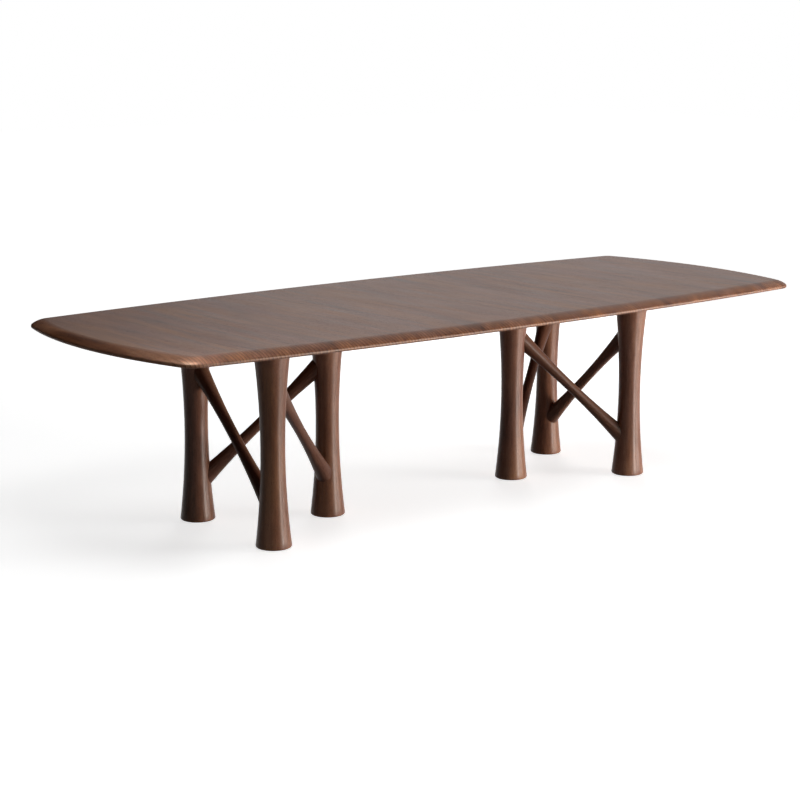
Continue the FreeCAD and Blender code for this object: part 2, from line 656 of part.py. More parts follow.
# Hardware
def makePlate(label, side, direction):
    """Round steel plate let into the top over a leg, countersunk for the bolt and for its screws."""
    body = newBody(label)
    disc = newSketch(body, f"{label}_disc", "XY_Plane")
    addCircle(disc, "rim", "0", "0", "Sizes.plateRadius")
    pad(body, f"{label}_blank", disc, "Sizes.plateThickness")
    # bolt hole, countersunk from above
    bore = newSketch(body, f"{label}_bolt_bore", "XZ_Plane")
    radius = "(Sizes.boltRadius + Sizes.boltFit)"
    head = "(Sizes.boltHeadRadius + Sizes.boltFit)"
    addOutline(bore, [
        ("0", "-Sizes.overrun"), (radius, "-Sizes.overrun"),
        (radius, f"Sizes.plateThickness - ({head} - {radius})"), (head, "Sizes.plateThickness"),
        (head, "Sizes.plateThickness + Sizes.overrun"), ("0", "Sizes.plateThickness + Sizes.overrun"),
    ])
    turn(body, "Groove", f"{label}_bolt_boring", bore)
    # screw holes, countersunk from below
    slim = "(Sizes.screwRadius + Sizes.screwFit)"
    wide = "(Sizes.screwHeadRadius + Sizes.screwFit)"
    count = int(value("Sizes.plateScrewCount"))
    offset = (f"placement(vector(0; 0; 0); rotationy(180 deg / {count}))"
              " * placement(vector(Sizes.plateScrewCircle; 0; 0); rotationy(0))")
    hole = newSketch(body, f"{label}_screw_hole", "XZ_Plane", offset)
    addOutline(hole, [
        ("0", "-Sizes.overrun"), (wide, "-Sizes.overrun"), (wide, "0"), (slim, f"{wide} - {slim}"),
        (slim, "Sizes.plateThickness + Sizes.overrun"), ("0", "Sizes.plateThickness + Sizes.overrun"),
    ])
    drilled = turn(body, "Groove", f"{label}_screw_drilling", hole)
    ring = body.newObject("PartDesign::PolarPattern", f"{label}_screw_ring")
    ring.Originals = [drilled]
    ring.Axis = (disc, ["N_Axis"])
    ring.Angle = 360
    ring.setExpression("Occurrences", "Sizes.plateScrewCount")
    body.Tip = ring
    body.setExpression("Placement", legPlacement(side, direction, "Worked.underside"))
    return body


def makeTurned(label, outline):
    """Small turned piece on the Z axis, from the corners of its half section."""
    body = newBody(label)
    profile = newSketch(body, f"{label}_profile", "XZ_Plane")
    addOutline(profile, outline)
    turn(body, "Revolution", f"{label}_turning", profile)
    return body


def makeGroup(label, pattern, placements):
    """One node that holds a copy of a small piece at every place."""
    copies = []
    for index, placement in enumerate(placements):
        copy = doc.addObject("App::Link", f"{label}_{index + 1:02d}")
        copy.LinkedObject = pattern
        copy.setExpression("Placement", placement)
        copies.append(copy)
    group = doc.addObject("Part::Compound", label)
    group.Links = copies
    return group


def makeGlide(label, side, direction):
    """Nylon glide with a push-in stem, standing a little below the wood."""
    body = newBody(label)
    profile = newSketch(body, f"{label}_profile", "XZ_Plane")
    inset = "(Sizes.glideRadius - Sizes.glideRound)"
    stemTop = "(Sizes.glideThickness + Sizes.glideStemLength)"
    addOutline(profile, [
        ("0", "0"), (inset, "0"), ("Sizes.glideRadius", "Sizes.glideRound"),
        ("Sizes.glideRadius", "Sizes.glideThickness"), ("Sizes.glideStemRadius", "Sizes.glideThickness"),
        ("Sizes.glideStemRadius", stemTop), ("0", stemTop),
    ])
    turn(body, "Revolution", f"{label}_turning", profile)
    body.setExpression("Placement", legPlacement(side, direction))
    return body


def makeFasteners():
    """Bolts, their inserts, the plates' countersunk screws and the channels' round-headed ones."""
    headHeight = "(Sizes.boltHeadRadius - Sizes.boltRadius)"
    bolt = makeTurned("bolt_pattern", [
        ("0", "-Sizes.boltLength"), ("Sizes.boltRadius", "-Sizes.boltLength"),
        ("Sizes.boltRadius", f"-{headHeight}"), ("Sizes.boltHeadRadius", "0"), ("0", "0"),
    ])
    bore = "(Sizes.boltRadius + Sizes.insertFit)"
    insert = makeTurned("insert_pattern", [
        (bore, "-Sizes.insertLength"), ("Sizes.insertRadius", "-Sizes.insertLength"),
        ("Sizes.insertRadius", "0"), (bore, "0"),
    ])
    coneHeight = "(Sizes.screwHeadRadius - Sizes.screwRadius)"
    screw = makeTurned("screw_pattern", [
        ("0", "0"), ("Sizes.screwHeadRadius", "0"), ("Sizes.screwRadius", coneHeight),
        ("Sizes.screwRadius", "Sizes.screwLength - Sizes.screwPointLength"), ("0", "Sizes.screwLength"),
    ])
    roundScrew = makeTurned("round_screw_pattern", [
        ("0", "-Sizes.roundHeadHeight"), ("Sizes.screwHeadRadius", "-Sizes.roundHeadHeight"),
        ("Sizes.roundHeadRadius", "0"), ("Sizes.screwRadius", "0"),
        ("Sizes.screwRadius", "Sizes.screwLength - Sizes.screwPointLength"), ("0", "Sizes.screwLength"),
    ])
    boltTop = "Worked.underside + Sizes.plateThickness"
    boltPlaces = [legPlacement(side, direction, boltTop) for name, side, direction in legPlaces]
    insertPlaces = [legPlacement(side, direction, "Worked.underside") for name, side, direction in legPlaces]
    count = int(value("Sizes.plateScrewCount"))
    outward = "placement(vector(Sizes.plateScrewCircle; 0; 0); rotationz(0))"
    platePlaces = []
    for onPlate in insertPlaces:
        for index in range(count):
            turned = f"placement(vector(0; 0; 0); rotationz(360 deg * ({index} + 1 / 2) / {count}))"
            platePlaces.append(f"{onPlate} * {turned} * {outward}")
    channelPlaces = []
    for side in (-1, 1):
        for place in channelScrewPlaces():
            spot = f"vector({place}; {side} * Sizes.channelSpacing / 2; Worked.underside)"
            channelPlaces.append(f"placement({spot}; rotationz(0))")
    return [
        makeGroup("leg_bolts", bolt, boltPlaces),
        makeGroup("leg_inserts", insert, insertPlaces),
        makeGroup("plate_screws", screw, platePlaces),
        makeGroup("channel_screws", roundScrew, channelPlaces),
    ]


# The whole table
parts = makeBoards(makeTopBlank())
parts.append(makeChannel("front_channel", -1))
parts.append(makeChannel("back_channel", 1))
for legName, legSide, legDirection in legPlaces:
    corner = legName.removesuffix("_leg")
    parts.append(makeLeg(legName, legSide, legDirection))
    parts.append(makeBrace(f"{corner}_brace", legSide, legDirection))
    parts.append(makePlate(f"{corner}_plate", legSide, legDirection))
    parts.append(makeGlide(f"{corner}_glide", legSide, legDirection))
parts += makeFasteners()
doc.recompute()

# Every object has to have worked before anything is written
for thing in doc.Objects:
    if "Invalid" in thing.State or "Error" in thing.State:
        raise RuntimeError(f"{thing.Label} failed: {thing.State}")
for part in parts:
    if part.Shape.isNull() or not part.Shape.isValid():
        raise RuntimeError(f"{part.Label} has no valid shape")

os.makedirs("parts", exist_ok=True)
for part in parts:
    part.Shape.exportStep(f"parts/{part.Label}.step")
print(len(parts), "parts written")
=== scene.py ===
import math

import bmesh
import bpy
import numpy as np
from mathutils import Matrix, Vector


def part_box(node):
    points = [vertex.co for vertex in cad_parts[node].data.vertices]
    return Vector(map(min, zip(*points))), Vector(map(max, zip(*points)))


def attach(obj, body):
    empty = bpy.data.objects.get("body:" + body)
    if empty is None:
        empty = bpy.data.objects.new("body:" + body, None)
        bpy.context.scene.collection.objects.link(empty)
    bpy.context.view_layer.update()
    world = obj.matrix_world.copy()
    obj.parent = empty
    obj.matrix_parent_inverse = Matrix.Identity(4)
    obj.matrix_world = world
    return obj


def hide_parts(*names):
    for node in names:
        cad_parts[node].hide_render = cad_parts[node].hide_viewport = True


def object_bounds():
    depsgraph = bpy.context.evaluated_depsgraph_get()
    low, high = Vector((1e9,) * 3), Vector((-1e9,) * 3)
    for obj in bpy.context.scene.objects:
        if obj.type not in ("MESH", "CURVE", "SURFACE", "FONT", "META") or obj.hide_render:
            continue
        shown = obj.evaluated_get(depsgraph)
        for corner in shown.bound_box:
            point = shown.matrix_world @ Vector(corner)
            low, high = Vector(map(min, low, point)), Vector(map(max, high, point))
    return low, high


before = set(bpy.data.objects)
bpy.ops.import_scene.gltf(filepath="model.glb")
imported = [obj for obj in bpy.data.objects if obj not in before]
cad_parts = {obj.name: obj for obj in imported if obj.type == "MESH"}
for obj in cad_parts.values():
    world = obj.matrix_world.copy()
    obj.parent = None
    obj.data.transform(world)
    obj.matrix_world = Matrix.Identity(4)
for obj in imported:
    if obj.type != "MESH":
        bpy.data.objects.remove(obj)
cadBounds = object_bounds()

# Dining table: twenty walnut boards across the length, on two bases of three waisted legs and three braces.
# Metres, X along the table, Y across it, Z up, the floor at zero.


# Meshes
weldDistance = 1e-6
sliverLength = 1e-7
sharpAngle = math.radians(30)


def gridFaces(rows, columns, start, around):
    # quads of a grid of points: each joins two neighbours in a row with the two in the next row
    row = np.arange(rows - 1)[:, None]
    column = np.arange(columns if around else columns - 1)[None, :]
    following = (column + 1) % columns
    corners = [row * columns + column, row * columns + following,
               (row + 1) * columns + following, (row + 1) * columns + column]
    return np.stack(corners, -1).reshape(-1, 4) + start


def closedMesh(name, patches):
    # one closed mesh from grids of points; each patch is (points, around), and a grid of one row is one face
    points = []
    faces = []
    start = 0
    for grid, around in patches:
        rows, columns = grid.shape[:2]
        points.append(grid.reshape(-1, 3))
        if rows == 1:
            faces.append(list(range(start, start + columns)))
        else:
            faces += gridFaces(rows, columns, start, around).tolist()
        start += rows * columns
    mesh = bpy.data.meshes.new(name)
    mesh.from_pydata(np.concatenate(points).tolist(), [], faces)
    weld = bmesh.new()
    weld.from_mesh(mesh)
    bmesh.ops.remove_doubles(weld, verts=weld.verts, dist=weldDistance)
    bmesh.ops.dissolve_degenerate(weld, edges=weld.edges, dist=sliverLength)
    bmesh.ops.recalc_face_normals(weld, faces=weld.faces)
    weld.to_mesh(mesh)
    weld.free()
    return mesh


def smoothMesh(mesh):
    mesh.shade_smooth()
    mesh.set_sharp_from_angle(angle=sharpAngle)


def addPiece(name, mesh, material, slotName, *nodes):
    # put a finished mesh into the scene as the look of one or more CAD nodes
    piece = bpy.data.objects.new(name, mesh)
    bpy.context.scene.collection.objects.link(piece)
    mesh.materials.clear()
    mesh.materials.append(material)
    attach(piece, "root")
    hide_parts(*nodes)


def meshPoints(mesh):
    places = np.empty(len(mesh.vertices) * 3)
    mesh.vertices.foreach_get("co", places)
    return places.reshape(-1, 3)


# how far the pieces are shifted from each other along the grain, and how far their tones differ
grainShift = (-4, 4)
toneRange = (-1, 1)


def drawWood(chance, piece):
    # a piece's own place in its tree: the pith's distance aside and below, the shift along the grain, and the tone
    shift = [chance.uniform(*limits) for limits in (piece["pithAside"], piece["pithBelow"], grainShift)]
    return shift, chance.uniform(*toneRange)


def storeGrain(mesh, origin, across, depth, along, shift, tone):
    # wood coordinates of every point: its distances from the pith across and through the board, and along the grain
    places = meshPoints(mesh) - np.array(origin)
    axes = np.array([across, depth, along], float)
    grain = mesh.attributes.new("grain", "FLOAT_VECTOR", "POINT")
    grain.data.foreach_set("vector", (places @ axes.T + np.array(shift)).astype(np.float32).ravel())
    shade = mesh.attributes.new("tone", "FLOAT", "POINT")
    shade.data.foreach_set("value", np.full(len(places), tone, np.float32))


# Materials
def nodeTree(name):
    material = bpy.data.materials.new(name)
    material.use_nodes = True
    tree = material.node_tree
    tree.nodes.clear()
    output = tree.nodes.new("ShaderNodeOutputMaterial")
    shader = tree.nodes.new("ShaderNodeBsdfPrincipled")
    tree.links.new(shader.outputs["BSDF"], output.inputs["Surface"])
    return material, tree, shader


def addNode(tree, kind, inputs=None, **settings):
    # add a node, set its own fields, and fill its inputs with values or with other nodes' outputs
    node = tree.nodes.new("ShaderNode" + kind)
    for field, content in settings.items():
        setattr(node, field, content)
    for key, content in (inputs or {}).items():
        if isinstance(content, bpy.types.NodeSocket):
            tree.links.new(content, node.inputs[key])
        else:
            node.inputs[key].default_value = content
    return node


def maths(tree, operation, first, second=0.0):
    return addNode(tree, "Math", {0: first, 1: second}, operation=operation).outputs[0]


def ramp(tree, factor, stops):
    # colour ramp from a dictionary of place and colour
    node = addNode(tree, "ValToRGB", {"Fac": factor})
    elements = node.color_ramp.elements
    while len(elements) > 1:
        elements.remove(elements[0])
    for index, (place, colour) in enumerate(sorted(stops.items())):
        element = elements[0] if index == 0 else elements.new(place)
        element.position = place
        element.color = (*colour, 1)
    return node.outputs["Color"]


def remap(tree, value, low, high, newLow, newHigh):
    # straight line from low to high onto the new low and high, held at its ends
    inputs = {"Value": value, "From Min": low, "From Max": high, "To Min": newLow, "To Max": newHigh}
    return addNode(tree, "MapRange", inputs).outputs["Result"]


def multiplyColour(tree, factor, first, second):
    # of a Mix node's inputs, 0 is the factor, and 6 and 7 are the colours
    inputs = {0: factor, 6: first, 7: second}
    return addNode(tree, "Mix", inputs, data_type="RGBA", blend_type="MULTIPLY").outputs[2]


walnut = {
    "dark": (0.060, 0.022, 0.011),
    "brown": (0.185, 0.083, 0.047),
    "light": (0.330, 0.175, 0.105),
    "darkAt": 0.08,  # the figure's value at which each of the three stands
    "brownAt": 0.45,
    "lightAt": 0.95,
    "boardTone": 0.05,  # how much of a piece's tone goes into the figure
    "mauve": (0.93, 0.95, 1.10),
    "golden": (1.07, 1.00, 0.80),
    "lateWood": (0.30, 0.22, 0.18),  # what the dark edge of a ring, of a finer ring, and a pore do to the colour
    "fineLateWood": (0.45, 0.37, 0.32),
    "poreWood": (0.35, 0.28, 0.25),
    "fineShare": 0.5,
    "poreShare": 0.5,
    "lengthwise": 0.08,  # how much slower the rings change along the grain
    "patchLengthwise": 0.24,  # the same for the broad patches of colour
    "poreLengthwise": 0.05,
    "ringWidth": 0.0135,
    "ringWander": 2.2,
    "fineWidth": 0.0042,
    "fineWander": 1.6,
    "ringSharpness": 2.4,
    "driftScale": 9.0,
    "driftDepth": 0.03,
    "patchScale": 11.0,
    "hueScale": 6.0,
    "hueRange": (0.32, 0.68),
    "poreScale": 1300.0,
    "poreRange": (0.56, 0.66),
    "noiseRange": (0.30, 0.70),  # most of a noise's values lie between these
    "smoother": 0.05,
    "rougher": 0.06,
    "poreRoughness": 0.12,
    "grooveShare": 0.35,
    "grooveStrength": 0.25,
    "grooveDepth": 0.0002,
    "glossStretch": 0.6,
    "glossTurn": 0.25,
}

# the rolled rim is tinted warmer than the flat: partly the cut grain's own colour, partly painted light standing in
# for the weaker grey sheen on the rim; its rings show where the boards end
rim = {
    "flatLevel": -0.0002,  # from the top face, where the flat ends
    "rolledLevel": -0.0030,
    "tint": (1.08, 0.91, 0.70),
    "endGrainRings": 1.0,
    "longGrainRings": 0.12,
    "longGrainFrom": 0.40,  # distance from the table's long axis, where long grain turns into end grain
    "endGrainFrom": 0.50,
}


def walnutMaterial(name, specular, roughness, rings, patches, fibres, fibreScale,
                   tint=(1, 1, 1), glossTint=(1.0, 0.82, 0.66), rimmed=False, turned=False):
    # walnut worked out in the wood itself, so faces, edges and end grain agree with each other
    material, tree, shader = nodeTree(name)
    grain = addNode(tree, "Attribute", attribute_name="grain").outputs["Vector"]
    tone = addNode(tree, "Attribute", attribute_name="tone").outputs["Fac"]
    slow = addNode(tree, "Mapping", {"Vector": grain, "Scale": (1, 1, walnut["lengthwise"])}).outputs[0]
    drift = addNode(tree, "TexNoise", {"Vector": slow, "Scale": walnut["driftScale"], "Detail": 2.0}).outputs["Color"]
    centred = addNode(tree, "VectorMath", {0: drift, 1: (0.5, 0.5, 0.5)}, operation="SUBTRACT").outputs[0]
    bend = addNode(tree, "VectorMath", {0: centred, "Scale": walnut["driftDepth"]}, operation="SCALE").outputs[0]
    wood = addNode(tree, "VectorMath", {0: slow, 1: bend}).outputs[0]
    short = addNode(tree, "Mapping", {"Vector": grain, "Scale": (1, 1, walnut["patchLengthwise"])}).outputs[0]
    patchy = addNode(tree, "VectorMath", {0: short, 1: bend}).outputs[0]
    ringDepth = rings
    if rimmed:
        place = addNode(tree, "SeparateXYZ", {0: addNode(tree, "TexCoord").outputs["Object"]}).outputs
        topLevel = cadBounds[1][2]
        rolled = remap(tree, place["Z"], topLevel + rim["rolledLevel"], topLevel + rim["flatLevel"], 1.0, 0.0)
        aside = maths(tree, "ABSOLUTE", place["Y"])
        rimRings = remap(tree, aside, rim["longGrainFrom"], rim["endGrainFrom"],
                         rim["longGrainRings"], rim["endGrainRings"])
        ringDepth = remap(tree, rolled, 0.0, 1.0, rings, rimRings)

    # growth rings round the pith, with finer ones between them; a wave's period is 0.314 over its scale
    wavePeriod = 0.314
    waves = []
    for size in ("ring", "fine"):
        inputs = {"Vector": wood, "Scale": wavePeriod / walnut[size + "Width"], "Distortion": walnut[size + "Wander"],
                  "Detail": 2.0, "Detail Scale": 0.35, "Detail Roughness": 0.6}
        wave = addNode(tree, "TexWave", inputs, wave_type="RINGS", rings_direction="Z", wave_profile="SAW")
        waves.append(maths(tree, "POWER", wave.outputs["Fac"], walnut["ringSharpness"]))
    late, fineLate = waves

    # colour of the heartwood: broad patches, finer streaks and single fibres
    inputs = {"Vector": patchy, "Scale": walnut["patchScale"], "Detail": 3.0, "Roughness": 0.55}
    broad = addNode(tree, "TexNoise", inputs).outputs["Fac"]
    inputs = {"Vector": wood, "Scale": fibreScale, "Detail": 4.0, "Roughness": 0.62}
    fine = addNode(tree, "TexNoise", inputs).outputs["Fac"]
    plain = 0.5 * (1 - patches - fibres)
    figure = maths(tree, "ADD", remap(tree, broad, *walnut["noiseRange"], plain, plain + patches),
                   remap(tree, fine, *walnut["noiseRange"], 0.0, fibres))
    figure = maths(tree, "ADD", figure, maths(tree, "MULTIPLY", tone, walnut["boardTone"]))
    middleTone = ramp(tree, figure, {walnut[name + "At"]: walnut[name] for name in ("dark", "brown", "light")})
    lateShare = maths(tree, "MULTIPLY", late, ringDepth)
    fineShare = maths(tree, "MULTIPLY", maths(tree, "MULTIPLY", fineLate, walnut["fineShare"]), ringDepth)
    ringed = multiplyColour(tree, lateShare, middleTone, (*walnut["lateWood"], 1))
    lined = multiplyColour(tree, fineShare, ringed, (*walnut["fineLateWood"], 1))

    # some patches are greyer and some more golden, whatever their depth of tone
    hue = addNode(tree, "TexNoise", {"Vector": patchy, "Scale": walnut["hueScale"], "Detail": 2.0}).outputs["Fac"]
    hue = remap(tree, hue, *walnut["hueRange"], 0.0, 1.0)
    cast = ramp(tree, hue, {0.0: walnut["mauve"], 1.0: walnut["golden"]})
    banded = multiplyColour(tree, 1.0, lined, cast)

    # pores: short dark lines along the grain
    drawnOut = addNode(tree, "Mapping", {"Vector": grain, "Scale": (1, 1, walnut["poreLengthwise"])}).outputs[0]
    inputs = {"Vector": drawnOut, "Scale": walnut["poreScale"], "Detail": 1.0}
    pore = remap(tree, addNode(tree, "TexNoise", inputs).outputs["Fac"], *walnut["poreRange"], 0.0, 1.0)
    poreShare = maths(tree, "MULTIPLY", pore, walnut["poreShare"])
    pored = multiplyColour(tree, poreShare, banded, (*walnut["poreWood"], 1))
    tinted = multiplyColour(tree, 1.0, pored, (*tint, 1))
    # the rim's warmer tint is partly painted light, for its weaker grey sheen
    if rimmed:
        tinted = multiplyColour(tree, rolled, tinted, (*rim["tint"], 1))
    tree.links.new(tinted, shader.inputs["Base Color"])

    # satin oil: a little duller in the pores, and the pores are shallow grooves
    dullness = remap(tree, fine, *walnut["noiseRange"], roughness - walnut["smoother"], roughness + walnut["rougher"])
    dullness = maths(tree, "ADD", dullness, maths(tree, "MULTIPLY", pore, walnut["poreRoughness"]))
    tree.links.new(dullness, shader.inputs["Roughness"])
    height = maths(tree, "SUBTRACT", maths(tree, "MULTIPLY", fine, walnut["grooveShare"]), pore)
    inputs = {"Height": height, "Strength": walnut["grooveStrength"], "Distance": walnut["grooveDepth"]}
    bump = addNode(tree, "Bump", inputs)
    tree.links.new(bump.outputs[0], shader.inputs["Normal"])
    shader.inputs["Specular IOR Level"].default_value = specular
    shader.inputs["Specular Tint"].default_value = (*glossTint, 1)
    if turned:
        # fine sanding lines round a turned piece draw its highlight out along its length
        tangent = addNode(tree, "Tangent", direction_type="RADIAL", axis="Z")
        tree.links.new(tangent.outputs[0], shader.inputs["Tangent"])
        shader.inputs["Anisotropic"].default_value = walnut["glossStretch"]
        shader.inputs["Anisotropic Rotation"].default_value = walnut["glossTurn"]
    return material


speckle = {
    "noiseRange": (0.3, 0.7),
    "roughnessSpread": 0.15,
    "bumpStrength": 0.4,
    "bumpDepth": 0.00002,
}


def speckledMaterial(name, colour, metallic, roughness, grainSize, contrast, stretch=(1, 1, 1)):
    # metal, nylon or plywood: a fine noise in the colour, the roughness and the surface
    material, tree, shader = nodeTree(name)
    place = addNode(tree, "TexCoord").outputs["Object"]
    vector = addNode(tree, "Mapping", {"Vector": place, "Scale": stretch}).outputs[0]
    noise = addNode(tree, "TexNoise", {"Vector": vector, "Scale": 1 / grainSize, "Detail": 3.0}).outputs["Fac"]
    low, high = speckle["noiseRange"]
    darker = tuple(level * (1 - contrast) for level in colour)
    lighter = tuple(min(1.0, level * (1 + contrast)) for level in colour)
    tree.links.new(ramp(tree, noise, {low: darker, high: lighter}), shader.inputs["Base Color"])
    spread = roughness * speckle["roughnessSpread"]
    tree.links.new(remap(tree, noise, low, high, roughness - spread, roughness + spread), shader.inputs["Roughness"])
    inputs = {"Height": noise, "Strength": speckle["bumpStrength"], "Distance": speckle["bumpDepth"]}
    tree.links.new(addNode(tree, "Bump", inputs).outputs[0], shader.inputs["Normal"])
    shader.inputs["Metallic"].default_value = metallic
    return material


topWalnut = walnutMaterial("walnut_top", specular=0.20, roughness=0.41, rings=0.32,
                           patches=0.34, fibres=0.58, fibreScale=36.0, tint=(0.98, 1.00, 1.10), rimmed=True)
legWalnut = walnutMaterial("walnut_legs", specular=0.15, roughness=0.32, rings=0.14,
                           patches=0.44, fibres=0.26, fibreScale=120.0, tint=(1.04, 1.00, 1.06),
                           glossTint=(1.0, 0.92, 0.84), turned=True)
# the braces are the legs' walnut with a darker tint: painted shade, for the shade under the top and between the legs
shadedBraceWalnut = walnutMaterial("walnut_braces", specular=0.08, roughness=0.34, rings=0.16,
                             patches=0.44, fibres=0.26, fibreScale=120.0, tint=(0.62, 0.58, 0.63),
                             glossTint=(1.0, 0.92, 0.84))
blackSteel = speckledMaterial("black_steel", (0.030, 0.030, 0.032), 0.0, 0.55, 0.0006, 0.25)
zincSteel = speckledMaterial("zinc_steel", (0.55, 0.55, 0.57), 1.0, 0.30, 0.0008, 0.10, stretch=(1, 1, 0.1))
insertBrass = speckledMaterial("insert_brass", (0.62, 0.46, 0.22), 1.0, 0.34, 0.0008, 0.10)
darkNylon = speckledMaterial("nylon", (0.035, 0.030, 0.028), 0.0, 0.50, 0.0010, 0.20)
plywood = speckledMaterial("plywood", (0.50, 0.36, 0.23), 0.0, 0.70, 0.0030, 0.30, stretch=(0.1, 1, 4))
print("materials ready")


# Tabletop
top = {
    "sideBow": 0.083,
    "endBow": 0.112,
    "cornerRadius": 0.075,
    "rollWidth": 0.050,
    "rollDrop": 0.024,
    "crownRadius": 0.095,
    "noseRadius": 0.008,
    "underRound": 0.005,
    "softening": 0.0025,  # flat strip beside the break line and beside the underside's rounding
    "boardCount": 20,
    "boardColumns": 7,
    "underRows": 7,
    "noseRows": 9,
    "crownRows": 19,
    "sidePoints": 4,
    "cornerPoints": 17,
    "endPoints": 25,
    "seed": 14,
    "pithAside": (0.18, 0.34),  # far aside and little below, so the rings stand steep along the front edge
    "pithBelow": (0.03, 0.08),
}


def outlineArcs(shape, halfLength, halfWidth):
    # centres and radii of the side, end and corner arcs of one quarter, and where they touch
    # an arc's radius is (half chord squared + bow squared) over twice the bow
    sideRadius = (halfLength ** 2 + shape["sideBow"] ** 2) / (2 * shape["sideBow"])
    endRadius = (halfWidth ** 2 + shape["endBow"] ** 2) / (2 * shape["endBow"])
    sideCentre = np.array([0, halfWidth - sideRadius])
    endCentre = np.array([halfLength - endRadius, 0])
    sideReach = sideRadius - shape["cornerRadius"]
    endReach = endRadius - shape["cornerRadius"]
    span = math.hypot(sideCentre[1], endCentre[0])
    turn = math.acos((sideReach ** 2 + span ** 2 - endReach ** 2) / (2 * sideReach * span))
    sideAngle = turn - math.atan(endCentre[0] / sideCentre[1])
    corner = sideCentre + sideReach * np.array([math.sin(sideAngle), math.cos(sideAngle)])
    endAngle = math.atan2(corner[1], corner[0] - endCentre[0])
    return {"side": (sideCentre, sideRadius), "end": (endCentre, endRadius),
            "corner": (corner, shape["cornerRadius"]),
            "sideTurn": math.pi / 2 - sideAngle, "endTurn": endAngle}


def rimProfile(shape, thickness):
    # rows of the rim as (inset, height over the underside), from below the edge up to the flat top
    drop, nose, crown = shape["rollDrop"], shape["noseRadius"], shape["crownRadius"]
    lipHeight = thickness - drop
    brink = np.array([shape["rollWidth"], thickness])
    noseCentre = np.array([nose, lipHeight])
    # the crown's arc passes through the brink and touches the nose's arc from outside
    toNose = noseCentre - brink
    span = np.hypot(*toNose)
    along = (span ** 2 + crown ** 2 - (crown - nose) ** 2) / (2 * span)
    aside = math.sqrt(crown ** 2 - along ** 2)
    unit = toNose / span
    crownCentre = brink + unit * along + np.array([-unit[1], unit[0]]) * aside
    # there are two such circles, and the crown's has its centre below the flat
    if crownCentre[1] > thickness:
        crownCentre = brink + unit * along - np.array([-unit[1], unit[0]]) * aside
    touch = noseCentre - crownCentre
    touchAngle = math.atan2(touch[1], touch[0])
    brinkAngle = math.atan2(brink[1] - crownCentre[1], brink[0] - crownCentre[0])
    under = shape["underRound"]
    soft = shape["softening"]
    low = np.linspace(-math.pi / 2, -math.pi, shape["underRows"])
    rounding = np.stack([under + under * np.cos(low), under + under * np.sin(low)], -1)
    noseTurn = np.linspace(math.pi, touchAngle, shape["noseRows"])
    noseArc = noseCentre + nose * np.stack([np.cos(noseTurn), np.sin(noseTurn)], -1)
    crownTurn = np.linspace(touchAngle, brinkAngle, shape["crownRows"])[1:]
    crownArc = crownCentre + crown * np.stack([np.cos(crownTurn), np.sin(crownTurn)], -1)
    lead = np.array([[under + soft, 0.0]])
    tail = np.array([[brink[0] + soft, thickness]])
    return np.concatenate([lead, rounding, noseArc, crownArc, tail])


def halfWidthAt(arcs, x, inset):
    # half width of the inset outline at a place x, on its side arc
    # it is the arc's centre plus the root of (its radius squared less x squared)
    centre, radius = arcs["side"]
    return centre[1] + np.sqrt((radius - inset) ** 2 - x ** 2)


def quarterCurve(arcs, inset, jointX):
    # points of the inset outline from a board's joint, round the corner, to the table's tip
    startTurn = math.acos(min(jointX / (arcs["side"][1] - inset), 1.0))
    pieces = []
    for name, first, last in (
        ("side", startTurn, arcs["sideTurn"]),
        ("corner", arcs["sideTurn"], arcs["endTurn"]),
        ("end", arcs["endTurn"], 0.0),
    ):
        centre, radius = arcs[name]
        turn = np.linspace(first, last, top[name + "Points"])
        points = centre + (radius - inset) * np.stack([np.cos(turn), np.sin(turn)], -1)
        pieces.append(points if name == "side" else points[1:])
    return np.concatenate(pieces)


def middleBoard(name, arcs, rows, floor, lowX, highX):
    # slice of the top between two joints: the rim's rows on both sides, closed under and over
    x = np.linspace(lowX, highX, top["boardColumns"])
    back = np.stack([np.stack([x, halfWidthAt(arcs, x, inset), np.full_like(x, floor + up)], -1)
                     for inset, up in rows])
    front = back * np.array([1, -1, 1])
    shell = np.concatenate([back, front[::-1]]).transpose(1, 0, 2)
    # the joint faces are strips between the same row at the back and at the front
    ends = [(np.stack([back[:, column], front[:, column]]), False) for column in (0, -1)]
    return closedMesh(name, [(shell, True), *ends])


def endBoard(name, arcs, rows, floor, jointX, side):
    # last board at an end: the rim's rows run from the joint, round both corners, to the joint again
    curves = []
    for inset, up in rows:
        half = quarterCurve(arcs, inset, abs(jointX))
        whole = np.concatenate([half, half[-2::-1] * np.array([1, -1])])
        curves.append(np.concatenate([whole, np.full((len(whole), 1), floor + up)], 1))
    curves = np.array(curves)
    # the first and last rows bound the flat faces below and above, and their ends the joint's face
    joint = np.stack([curves[:, 0], curves[:, -1]])
    patches = [(curves, False), (curves[:1], False), (curves[-1:], False), (joint, False)]
    mirror = np.array([side, 1, 1])
    return closedMesh(name, [(grid * mirror, around) for grid, around in patches])


# What is cut out of the boards from below, a little larger than the steel that sits in it
beds = {
    "plateRadius": 0.0963,
    "plateDepth": 0.005,
    "channelGap": 0.0003,
    "below": 0.010,
    "steps": 96,
}


